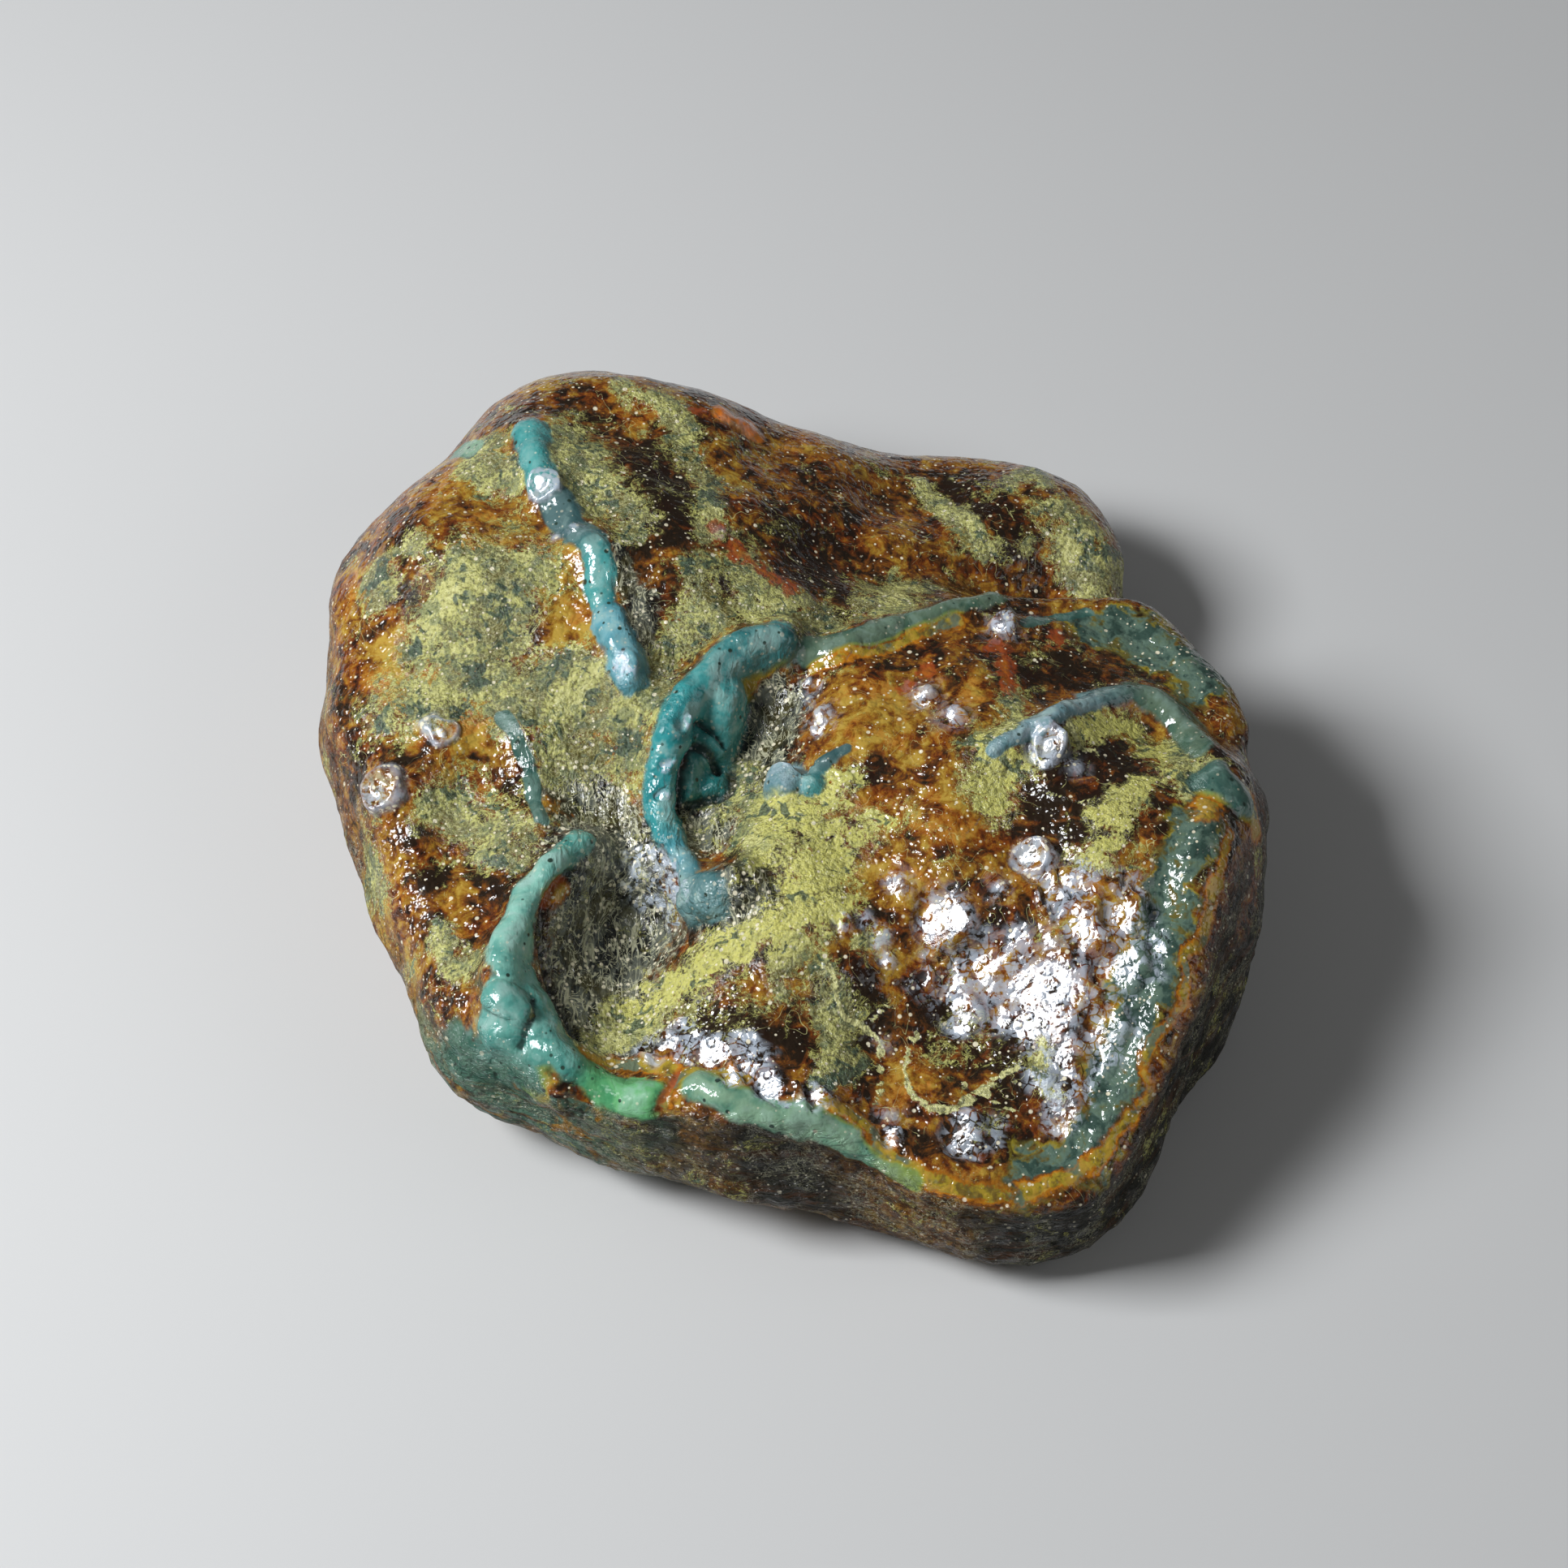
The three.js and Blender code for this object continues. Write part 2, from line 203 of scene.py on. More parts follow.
UMBERS = [
    (2.4, [(16, -6.5), (17, -8.5), (15, -8)]),
    (1.6, [(21, -5), (21.5, -9)]),
    (1.6, [(23.5, -9), (24.5, -11)]),
    (2.2, [(1.5, 14.5), (3.5, 12)]),
    (1.6, [(-8.5, 19.5), (-7.5, 15)]),
    (1.4, [(-2.5, 12.5), (-3, 7.5)]),
    (1.8, [(9.5, -21), (10.5, -23.5)]),
    (1.5, [(3.8, -19.5), (4.5, -23.5)]),
    (1.5, [(8.5, -28.5), (13, -28.8)]),
    (2.0, [(11.5, 23.5), (15, 19.5)]),
    (2.0, [(14, 4), (18, 3.5), (22, 4.5)]),
    (1.2, [(4.2, -6.8), (5.4, -6.3)]),
    (1.6, [(-4, -21.5), (0, -23.5)]),
    (1.8, [(12, -23.5), (16, -24.5)]),
]
WARM = [
    (3.6, [(6, -3), (8, -6.5), (10, -9)]),
    (2.4, [(6.5, -4), (8.5, -8), (11.5, -10)]),
    (1.6, [(7, -10.5), (10, -11), (13, -11.5)]),
    (1.8, [(-23, 17.5), (-21, 15.5), (-18.5, 14.5)]),
    (1.6, [(-28, 12), (-28.5, 8.5)]),
    (1.4, [(-25.5, 6.5), (-25.5, 4)]),
    (1.4, [(-14, 13.5), (-13, 9.5), (-12, 6.5)]),
    (0.9, [(8, -17), (6.6, -20), (6.5, -23.5), (6.5, -26.5)]),
    (1.2, [(7, -17.5), (9, -17.8)]),
    (1.6, [(-24, -14.5), (-25.5, -12.5)]),
    (1.6, [(-22, 0.5), (-19, 0)]),
    (1.8, [(-18, 29), (-11.5, 27.5), (-9, 25.5)]),
    (1.0, [(-1.5, 2.5), (-1, 3.5)]),
    (1.4, [(11, 28), (14.5, 27)]),
    (2.0, [(-14, 7), (-13, 4)]),
]
EDGE = [
    (0.6, [(-11.8, -22.9), (-9.6, -23.3), (-7.6, -23.9), (-6.8, -25.4), (-7.5, -27)]),
    (0.6, [(-6, -25.2), (-4.6, -25.3), (-2.4, -26.2)]),
    (0.6, [(2.4, -27.6), (4.6, -28.2), (6.2, -29.6), (8, -31)]),
    (0.6, [(7.8, -31), (10.2, -31.9), (13.1, -32.2), (15.6, -31.8), (17.8, -30.6)]),
    (0.45, [(17.8, -30.6), (19.5, -29), (21, -27.1), (21.6, -25.9), (21.8, -24.3), (23, -22.8)]),
    (0.45, [(23, -22.8), (24, -21), (24.3, -18.7), (25.2, -17.6), (26.3, -14.1), (27.2, -10.5)]),
    (0.9, [(29, -7.5), (29, -8.5)]),
    (0.8, [(26, -8.6), (25.6, -9.6)]),
    (0.5, [(2, 3.2), (5, 4.2), (8, 5.7), (11, 7.2)]),
    (0.7, [(-2.6, 2.1), (-1.9, 2.9), (-0.9, 3.7)]),
    (0.8, [(-14.2, -12.8)]),
    (0.9, [(-15, -25.3), (-16, -25.8)]),
]
BLUSH = [
    (0.7, [(-4.6, 14), (-3.5, 13), (-2, 11.5), (0, 10)]),
    (0.8, [(13.6, 5), (14, 1)]),
    (0.7, [(-5.5, 25.5)]),
    (0.9, [(17.5, 6.5)]),
    (0.5, [(7, 1), (9, 2.5)]),
]
VINE = [
    (0.2, [(3.5, -21.3), (4.9, -21.6), (5.7, -22.8), (5.6, -24.5), (5.5, -26.7)]),
    (0.22, [(8.1, -21.5), (7.4, -23), (7.3, -24.8), (7.9, -26.5), (10.3, -27), (12.1, -25.4), (14.1, -24)]),
    (0.15, [(12.1, -25.4), (13.2, -24.9), (13.9, -25.3)]),
    (0.2, [(2.6, -18.5), (3.2, -20.5), (3.5, -21.3)]),
    (0.2, [(17.2, -1.8), (18.3, -4), (19.5, -4.8)]),
    (0.15, [(16.3, -7.8), (18.5, -8.6), (21, -7.6)]),
    (0.15, [(13, -1), (14.5, -3.2), (14.6, -4.5)]),
    (0.15, [(10.3, -27), (10.9, -25.6), (10.6, -24.4)]),
    (0.15, [(12.1, -25.4), (12.6, -26.6), (13.8, -27)]),
    (0.15, [(4.9, -21.6), (5.6, -20.6), (6.4, -20.4)]),
]
BAND = [
    (1.3, [(25.6, -9.8), (24.4, -12.4), (23.6, -14.4)]),
    (1.7, [(23.4, -15), (22.7, -17.6), (21.8, -19.8), (21, -21.8), (20.4, -24)]),
    (1.5, [(20.2, -24.6), (19.2, -27.4), (17.6, -29.8), (14.8, -31)]),
    (2.0, [(20.8, 8.2), (23.6, 7), (26.6, 3.8)]),
]
# Glittering patches: their cells turn to face the light, and painted highlight shards lie on them.
GLITTER = [
    (3.2, [(11, -18.2), (13, -19.2), (15.5, -19.6)]),
    (2.8, [(16.4, -21.4), (18.4, -22.8), (17, -24.4)]),
    (2.4, [(18.2, -14.4), (20, -16.4), (20.4, -18.4)]),
    (1.8, [(-8.8, -9.6), (-7.5, -11)]),
    (1.6, [(-7, -22.2), (-4.4, -23.8), (-1.5, -25.4)]),
    (1.2, [(-1.5, -25.4), (0.8, -26.5), (2.4, -27)]),
    (1.2, [(10.6, -28.6), (12, -29.2)]),
]
BRIGHT = [
    (1.2, [(18, -3.5), (20, -1.5), (21.5, -1.5), (22.5, -4)]),
    (1.0, [(23.5, -5.5), (22, -7.5), (20, -10), (19.5, -12.5)]),
    (2.6, [(1.2, -7.7), (4.2, -10.8), (1, -14)]),
    (2.0, [(-1, -14.5), (-2.4, -17), (-7.8, -17.6)]),
    (1.6, [(13, -5.5), (13, -8)]),
]
MATTE = [
    (1.6, [(-11.6, -24.7), (-10.3, -25.4), (-9, -26.4), (-8.3, -26.8)]),
]

# Each mark's strokes, stains and painted shade alike, and how far coarse and fine noise push them about, in
# millimetres.
STAINS_AND_PAINTED_LIGHT = {
    "fuzz": (FUZZ, 1.0, 0.5),
    "dark": (DARK_HOLLOWS_AND_SHADE, 0.9, 0.3),
    "umber": (UMBERS, 1.2, 0.5),
    "warm": (WARM, 1.2, 0.5),
    "edge": (EDGE, 0.35, 0.35),
    "blush": (BLUSH, 0.3, 0.4),
    "vine": (VINE, 0.1, 0.25),
    "bright": (BRIGHT, 1.0, 0.0),
    "band": (BAND, 0.7, 0.5),
    "glitter": (GLITTER, 1.2, 0.8),
    "matte": (MATTE, 0.0, 0.0),
}

# Glassy scales, which all face one way and catch the light together: (x, y, radius).
SCALE_FACING = (-0.385, -0.409, 0.827)
SCALES = [
    (9.7, -15.6, 1.9),
    (1.8, 2.0, 0.8),
    (2.3, -1.2, 0.9),
    (14.2, -16.8, 1.1),
    (11.2, -17.4, 0.9),
    (17.4, -20.6, 1.2),
    (13.4, -21.2, 1.1),
    (18.6, -14.2, 0.8),
    (-15.7, 16.2, 1.1),
    (15.4, -12.1, 1.3),
    (16.1, -4.4, 1.5),
    (13.9, 6.9, 0.9),
    (12.6, -18.4, 2.0),
    (10.4, -19.2, 1.2),
    (14.2, -19.4, 1.4),
    (15.6, -19.6, 2.1),
    (18.6, -17.0, 1.8),
    (20.3, -19.2, 1.6),
    (16.6, -23.0, 1.9),
    (19.2, -22.6, 1.5),
    (10.8, -20.6, 1.4),
    (20.4, -16.2, 1.4),
    (14.6, -22.0, 1.2),
    (-8.4, -9.9, 1.1),
    (-26.0, -5.0, 0.9),
    (-22.3, -1.2, 0.7),
    (-7.0, -12.3, 0.9),
    (-5.5, -12.6, 0.8),
    (-7.4, -4.2, 0.5),
    (-7.8, -5.6, 0.5),
    (-6.6, -1.8, 0.5),
    (-7.0, -22.2, 1.0),
    (-4.3, -23.8, 1.3),
    (-0.9, -26.4, 1.0),
    (2.0, -27.2, 0.8),
    (6.4, -28.8, 0.6),
    (10.6, -28.6, 1.4),
    (16.6, -27.3, 1.3),
    (8.6, 0.1, 0.9),
    (10.5, -2.0, 0.8),
    (13.0, -13.9, 0.6),
    (6.8, -13.1, 0.6),
    (-10.2, 2.3, 0.7),
    (3.4, -15.9, 0.6),
    (4.7, -15.6, 0.6),
    (5.7, -16.4, 0.7),
    (6.2, -17.7, 0.6),
]

# Glassy blisters, each a rim round a shallow cup: (x, y, radius).
BLISTERS = [
    (-25.7, -4.5, 1.7),
    (-21.9, -0.8, 1.3),
    (-15.7, 16.2, 1.3),
    (15.2, -12.0, 1.2),
    (16.2, -4.5, 1.4),
]

# Droplets of pale milk, partly a painted highlight glow: (x, y, radius).
DROPLETS = [
    (13.9, 6.8, 1.1),
    (2.3, -1.1, 0.9),
    (0.1, -5.3, 0.8),
    (1.4, 0.9, 0.6),
    (1.5, 2.4, 0.5),
    (8.7, 0.4, 1.0),
    (10.4, -1.8, 1.0),
    (7.0, -13.2, 0.8),
    (13.0, -13.9, 0.7),
    (18.1, -13.2, 0.5),
    (18.0, -5.8, 0.8),
    (5.8, -22.5, 0.5),
    (6.4, -27.5, 0.7),
    (-13.6, 12.5, 0.5),
    (-14.9, 12.2, 0.4),
    (-4.2, 13.7, 0.5),
    (-3.0, 25.7, 0.5),
]


# ---- Fields over the skin's points, in millimetres ----
def noise_field(points, size, seed, stretch=(1, 1, 1)):
    """Smooth noise from -1 to 1, with features of that size. Each seed reads another part of it."""
    offset = Vector((seed * 13.7, seed * 7.1, seed * 3.3))
    scaled = points / (size * np.array(stretch, float))
    return np.array([noise.noise(Vector(p) + offset) for p in scaled])


def pebble_field(points, size, seed):
    """Rounded pebbles of that size: 1 in their middles and 0 in the grooves between them."""
    offset = Vector((seed * 11.3, seed * 5.9, seed * 8.7))
    gaps = np.array([noise.voronoi(Vector(p) + offset)[0][:2] for p in points / size])
    return np.clip((gaps[:, 1] - gaps[:, 0]) * 2.2, 0, 1) ** 0.5


def ease(values, low, high):
    """0 at low and 1 at high, with a smooth rise between."""
    share = np.clip((values - low) / (high - low), 0, 1)
    return share * share * (3 - 2 * share)


def crest_points(route):
    """Points along a smooth curve through a route's places."""
    places = [np.array(p, float) for p in route]
    if len(places) == 1:
        return np.array(places)
    ends = [2 * places[0] - places[1], *places, 2 * places[-1] - places[-2]]
    crest = []
    for a, b, c, d in zip(ends, ends[1:], ends[2:], ends[3:]):
        for t in np.arange(0, 1, CREST_SPACING / max(CREST_SPACING, np.linalg.norm(c - b))):
            bend = 2 * a - 5 * b + 4 * c - d + t * (3 * (b - c) + d - a)
            crest.append(b + 0.5 * t * (c - a + t * bend))
    return np.array([*crest, places[-1]])


class Surface:
    """The stone's surface points, on whose top the plan's routes are laid."""

    def __init__(self, points, normals):
        self.points = points
        self.normals = normals
        on_top = np.flatnonzero(normals[:, 2] > TOP_FACING)
        self.tree = kdtree.KDTree(len(on_top))
        for i in on_top:
            self.tree.insert((points[i, 0], points[i, 1], 0), i)
        self.tree.balance()

    def lay(self, places):
        """The points on the top over places on the plan."""
        over = [self.tree.find((x, y, 0))[1] for x, y in places]
        return np.c_[places, self.points[over, 2]]

    def distance(self, route, reach, warp=0):
        """Distance from each point to a route laid on the top, or OUT_OF_REACH beyond the reach."""
        crest = self.lay(crest_points(route))
        points = self.points + warp
        distance = np.full(len(points), OUT_OF_REACH)
        near = np.all((points > crest.min(0) - reach) & (points < crest.max(0) + reach), axis=1)
        gaps = points[near][:, None, :] - crest[None]
        distance[near] = np.sqrt((gaps ** 2).sum(-1)).min(1)
        return distance

    def cover(self, strokes, warp):
        """1 on the strokes' routes, 0.5 at their half-widths and 0 at twice that."""
        most = np.zeros(len(self.points))
        for half, route in strokes:
            most = np.maximum(most, 1 - self.distance(route, 2 * half, warp) / (2 * half))
        return most

    def wax(self, warp):
        """How far the wax covers each point, its colour there, and its height over the solid."""
        most, height = np.zeros(len(self.points)), np.zeros(len(self.points))
        total, color = np.full(len(self.points), 1e-6), np.zeros((len(self.points), 3))
        for tint, half, rise, route in WAX:
            off = self.distance(route, 2 * half, warp) / half
            near = np.clip(1 - off / 2, 0, 1)
            most = np.maximum(most, near)
            height = np.maximum(height, rise * np.clip(1 - off ** 2, 0, 1) ** 0.7)
            weight = near ** 3
            total += weight
            color += weight[:, None] * np.array(tint)
        return most, color / total[:, None], height

    def creases(self):
        """How far the creases cover each point, and their depth there."""
        most, depth = np.zeros(len(self.points)), np.zeros(len(self.points))
        for half, fall, route in CREASES:
            near = np.clip(1.3 - self.distance(route, 1.5 * half) / half, 0, 1)
            most = np.maximum(most, near)
            depth = np.maximum(depth, fall * near)
        return most, depth

    def scales(self, warp):
        """The lift along Z that turns each glassy scale its one way, and how far they cover each point."""
        lift, most = np.zeros(len(self.points)), np.zeros(len(self.points))
        for x, y, radius in SCALES:
            share = ease(1.25 - self.distance([(x, y)], 1.5 * radius, warp) / radius, 0, 0.5)
            gap = self.points - np.average(self.points, axis=0, weights=share)
            level = -(gap[:, :2] @ np.array(SCALE_FACING[:2])) / SCALE_FACING[2]
            lift += share * (level - gap[:, 2] - lift)
            most = np.maximum(most, share)
        return lift, most

    def terraces(self, size):
        """The lift along Z that turns each cell of that size the scales' way."""
        cores = np.array([noise.voronoi(Vector(p))[1][0] for p in self.points / size])
        cell = np.unique(cores.round(3), axis=0, return_inverse=True)[1].ravel()
        count = np.bincount(cell)
        middles = np.stack([np.bincount(cell, axis) / count for axis in self.points.T], 1)
        gap = self.points - middles[cell]
        return -(gap[:, :2] @ np.array(SCALE_FACING[:2])) / SCALE_FACING[2] - gap[:, 2]

    def blisters(self, warp):
        """The blisters' height, and how far they, their rims and their cups cover each point."""
        height, most, edge, cup = [np.zeros(len(self.points)) for _ in range(4)]
        for x, y, radius in BLISTERS:
            off = self.distance([(x, y)], 1.5 * radius, warp) / radius
            rim = np.clip(1 - ((off - 0.72) / 0.28) ** 2, 0, 1)
            height = np.maximum(height, 0.25 * radius * np.where(off < 0.72, 0.4 + 0.6 * rim, rim))
            most = np.maximum(most, ease(off, 1.2, 0.9))
            edge = np.maximum(edge, np.clip(1 - np.abs(off - 0.8) / 0.4, 0, 1))
            cup = np.maximum(cup, ease(off, 0.8, 0.3))
        return height, most, edge, cup

    def droplets(self, warp):
        """The height of the round droplets, and how far they cover each point."""
        height, most = np.zeros(len(self.points)), np.zeros(len(self.points))
        for x, y, radius in DROPLETS:
            off = self.distance([(x, y)], 1.5 * radius, warp) / radius
            height = np.maximum(height, 0.4 * radius * np.clip(1 - off ** 2, 0, 1) ** 0.7)
            most = np.maximum(most, np.clip(1 - off / 2, 0, 1))
        return height, most


# ---- The skin ----
def skin_mesh(solid):
    """A smooth, finely divided copy of the solid's surface."""
    mesh = solid.data.copy()
    work = bmesh.new()
    work.from_mesh(mesh)
    bmesh.ops.remove_doubles(work, verts=work.verts, dist=1e-6)
    work.to_mesh(mesh)
    work.free()
    mesh.materials.clear()
    skin = bpy.data.objects.new("nugget_skin", mesh)
    bpy.context.scene.collection.objects.link(skin)
    divide = skin.modifiers.new("divide", "SUBSURF")
    divide.levels = divide.render_levels = SKIN_LEVELS
    evaluated = skin.evaluated_get(bpy.context.evaluated_depsgraph_get())
    fine = bpy.data.meshes.new_from_object(evaluated)
    skin.modifiers.clear()
    skin.data = fine
    bpy.data.meshes.remove(mesh)
    return skin


def get_vectors(collection, key):
    """One three-number property of every item, as rows."""
    values = np.empty(len(collection) * 3, np.float32)
    collection.foreach_get(key, values)
    return values.reshape(-1, 3).astype(float)


def add_attribute(mesh, name, values):
    """Gives every point of the mesh a number, for the material to read."""
    attribute = mesh.attributes.new(name, "FLOAT", "POINT")
    attribute.data.foreach_set("value", values.astype(np.float32))


def add_color(mesh, name, colors):
    """Gives every point of the mesh a colour, for the material to read."""
    attribute = mesh.attributes.new(name, "FLOAT_COLOR", "POINT")
    rgba = np.c_[colors, np.ones(len(colors))].astype(np.float32)
    attribute.data.foreach_set("color", rgba.ravel())


def wall_masks(points, normals):
    """How far each point is on the walls under the brow, on their left side, and on their green foot."""
    outward = (normals[:, :2] * points[:, :2]).sum(1) / np.linalg.norm(points[:, :2], axis=1).clip(1)
    wall = np.clip(1.15 - normals[:, 2] * 1.6, 0, 1) * np.clip(outward * 2.5, 0, 1)
    # The left side faces the light; only there do the walls keep golden streaks instead of the painted
    # shade of the dark bands.
    left = np.clip(0.5 - normals[:, 0] * 1.5 + 0.6 * normals[:, 1], 0, 1)
    foot = ease(points[:, 0] - points[:, 1] * 0.3, 7, -8) * ease(points[:, 1], -12, -22)
    return wall, left, foot


def shape_skin(skin, solid_low, solid_high):
    """Gives the skin its masks and its fine relief. Heights and sizes are in millimetres."""
    mesh = skin.data
    scale = (solid_high.y - solid_low.y) / MM / DRAWN_LENGTH
    points = get_vectors(mesh.vertices, "co") / MM / scale
    normals = get_vectors(mesh.vertex_normals, "vector")
    surface = Surface(points, normals)

    coarse = np.stack([noise_field(points, 3.2, seed) for seed in (1, 2, 3)], 1)
    fine = np.stack([noise_field(points, 1.2, seed) for seed in (4, 5, 6)], 1)
    masks = {}
    for name, (strokes, coarse_push, fine_push) in STAINS_AND_PAINTED_LIGHT.items():
        masks[name] = surface.cover(strokes, coarse_push * coarse + fine_push * fine)
    wax, wax_color, wax_height = surface.wax(0.4 * coarse + 0.2 * fine)
    crease_shade, crease_depth = surface.creases()
    scale_lift, scales = surface.scales(0.4 * coarse + 0.3 * fine)
    blister_height, blisters, rims, cups = surface.blisters(0.35 * coarse + 0.45 * fine)
    droplet_height, droplets = surface.droplets(0.2 * coarse + 0.1 * fine)
    glitter = ease(masks["glitter"], 0.40, 0.60) * (1 - scales)
    scale_lift += glitter * surface.terraces(1.2)
    glass = np.max([scales, blisters, droplets, glitter], axis=0)
    # Where the shards of painted highlight go: on the scales, the droplets and the glitter.
    highlight_paint = np.max([0.7 * scales, 0.4 * droplets, 0.8 * glitter], axis=0)
    wall, left, foot = wall_masks(points, normals)
    masks.update({
        "wax": wax,
        "crease_shade": crease_shade,
        "glass": glass,
        "highlight_paint": highlight_paint,
        "rim": rims,
        "cup": cups,
        "droplet": droplets,
        "wall": wall,
        "left": left,
        "foot": foot,
        # How high the wax stands; the material paints the high crests paler, as painted light.
        "crest": np.clip(wax_height / 0.4, 0, 1),
    })
    for name, mask in masks.items():
        add_attribute(mesh, name, mask)
    add_color(mesh, "wax_color", wax_color)

    on_wax = np.clip(wax * 3 - 1, 0, 1)
    on_fuzz = np.clip(masks["fuzz"] * 2 - 0.4, 0, 1) * (1 - on_wax)
    in_hollow = np.clip(masks["dark"] * 2 - 0.4, 0, 1) * (1 - on_wax)
    smooth = np.clip(on_wax + glass, 0, 1)
    pebbles = pebble_field(points + 0.4 * fine, 1.5, 7) * (1 - smooth)
    lumps = noise_field(points, 2.6, 8) + 0.35 * noise_field(points, 1.1, 9)
    strands = noise_field(points, 0.9, 10, (1, 1.8, 1)) * np.maximum(in_hollow, 0.7 * wall)
    folds = noise_field(points, 2.2, 11, (2.5, 2.5, 0.6)) * wall
    ripples = noise_field(points + 0.5 * coarse, 1.1, 13, (0.7, 1, 1.8)) * wall
    ripples *= ease(points[:, 1], -12, -20)
    relief = wax_height + blister_height + droplet_height - crease_depth
    relief += 0.08 * pebbles + (0.10 - 0.06 * smooth) * lumps
    relief += 0.08 * on_fuzz + 0.12 * masks["vine"] + 0.12 * strands + 0.3 * folds
    relief += 0.17 * on_wax * (1 - scales) * noise_field(points, 1.2, 12) + 0.22 * ripples
    points[:, 2] += scale_lift
    points = (points + normals * relief[:, None]) * scale * MM
    points = np.clip(points, np.array(solid_low), np.array(solid_high))
    mesh.vertices.foreach_set("co", points.astype(np.float32).ravel())
    mesh.shade_smooth()
    mesh.update()


# ---- Material ----
class Paint:
    """Short names for the shader nodes that the skin's material uses. Sizes are in millimetres."""

    def __init__(self, name):
        self.material = bpy.data.materials.new(name)
        self.material.use_nodes = True
        self.tree = self.material.node_tree
        self.shader = self.tree.nodes["Principled BSDF"]
        where = self.tree.nodes.new("ShaderNodeTexCoord").outputs["Object"]
        inputs = {0: where, "Scale": 1 / MM}
        self.place = self.node("ShaderNodeVectorMath", inputs, operation="SCALE").outputs[0]

    def feed(self, sockets, inputs):
        """Links each input that is a node's output, and sets each one that is a plain value."""
        for key, value in inputs.items():
            if isinstance(value, bpy.types.NodeSocket):
                self.tree.links.new(value, sockets[key])
            else:
                sockets[key].default_value = value

    def node(self, kind, inputs, **settings):
        made = self.tree.nodes.new(kind)
        for key, value in settings.items():
            setattr(made, key, value)
        self.feed(made.inputs, inputs)
        return made

    def mask(self, name):
        return self.node("ShaderNodeAttribute", {}, attribute_name=name).outputs["Fac"]

    def color(self, name):
        return self.node("ShaderNodeAttribute", {}, attribute_name=name).outputs["Color"]

    def stretched(self, turn, stretch):
        """The place, turned about Z by degrees and drawn out by a share along each axis."""
        inputs = {
            "Vector": self.place,
            "Rotation": (0, 0, math.radians(turn)),
            "Scale": [1 / s for s in stretch],
        }
        return self.node("ShaderNodeMapping", inputs).outputs["Vector"]

    def noise(self, size, detail=3.0, distortion=0.0, place=None, roughness=0.5):
        inputs = {
            "Vector": place or self.place,
            "Scale": 1 / size,
            "Detail": detail,
            "Distortion": distortion,
            "Roughness": roughness,
        }
        return self.node("ShaderNodeTexNoise", inputs).outputs["Fac"]

    def cells(self, size, place=None, **settings):
        inputs = {"Vector": place or self.place, "Scale": 1 / size}
        return self.node("ShaderNodeTexVoronoi", inputs, **settings).outputs

    def math(self, operation, *values):
        inputs = dict(enumerate(values))
        return self.node("ShaderNodeMath", inputs, operation=operation).outputs[0]

    def greater(self, value, other):
        return self.math("MAXIMUM", value, other)

    def add(self, value, share, other):
        """value + share * other"""
        return self.math("MULTIPLY_ADD", other, share, value)

    def centred(self, field):
        return self.math("SUBTRACT", field, 0.5)

    def ramp(self, value, low, high):
        """0 below low and 1 above high, with a smooth rise between. Falls where low is above high."""
        ends = (low, high) if low < high else (high, low)
        results = (0.0, 1.0) if low < high else (1.0, 0.0)
        inputs = {
            "Value": value,
            "From Min": ends[0],
            "From Max": ends[1],
            "To Min": results[0],
            "To Max": results[1],
        }
        return self.node("ShaderNodeMapRange", inputs, interpolation_type="SMOOTHSTEP").outputs["Result"]

    def strands(self, size, width, place=None):
        """Thin curling strands, along the lines where a noise passes its middle."""
        off = self.math("ABSOLUTE", self.centred(self.noise(size, 2.0, 1.2, place)))
        return self.ramp(off, width, 0.0)

    def drifted(self, size, amount):
        """The place, pushed about by a noise of that size."""
        push = self.node("ShaderNodeTexNoise", {"Vector": self.place, "Scale": 1 / size}).outputs["Color"]
        inputs = {0: push, 1: (amount, amount, amount), 2: self.place}
        return self.node("ShaderNodeVectorMath", inputs, operation="MULTIPLY_ADD").outputs[0]

    def specks(self, size, radius):
        """Small round specks, one in each cell of that size, of varied radius and strength."""
        cells = self.cells(size)
        reach = self.times(cells["Color"], radius, 2 / size)
        speck = self.ramp(self.math("DIVIDE", cells["Distance"], reach), 1.0, 0.6)
        return self.times(speck, self.ramp(cells["Color"], 0.2, 0.7))

    def shades(self, value, *stops):
        """A run of colours, each at its value."""
        band = self.node("ShaderNodeValToRGB", {"Fac": value})
        elements = band.color_ramp.elements
        while len(elements) < len(stops):
            elements.new(0.5)
        for element, (place, color) in zip(elements, stops):
            element.position = place
            element.color = (*color, 1)
        return band.outputs["Color"]

    def mix(self, factor, a, b, blend="MIX"):
        colors = [c if isinstance(c, bpy.types.NodeSocket) else (*c, 1) for c in (a, b)]
        inputs = {0: factor, 6: colors[0], 7: colors[1]}
        return self.node("ShaderNodeMix", inputs, data_type="RGBA", blend_type=blend).outputs[2]

    def times(self, *factors):
        product = factors[0]
        for factor in factors[1:]:
            product = self.math("MULTIPLY", product, factor)
        return product

    def bump(self, height):
        """The normal that a height in millimetres gives."""
        inputs = {"Height": height, "Distance": MM, "Strength": 1.0}
        return self.node("ShaderNodeBump", inputs).outputs["Normal"]


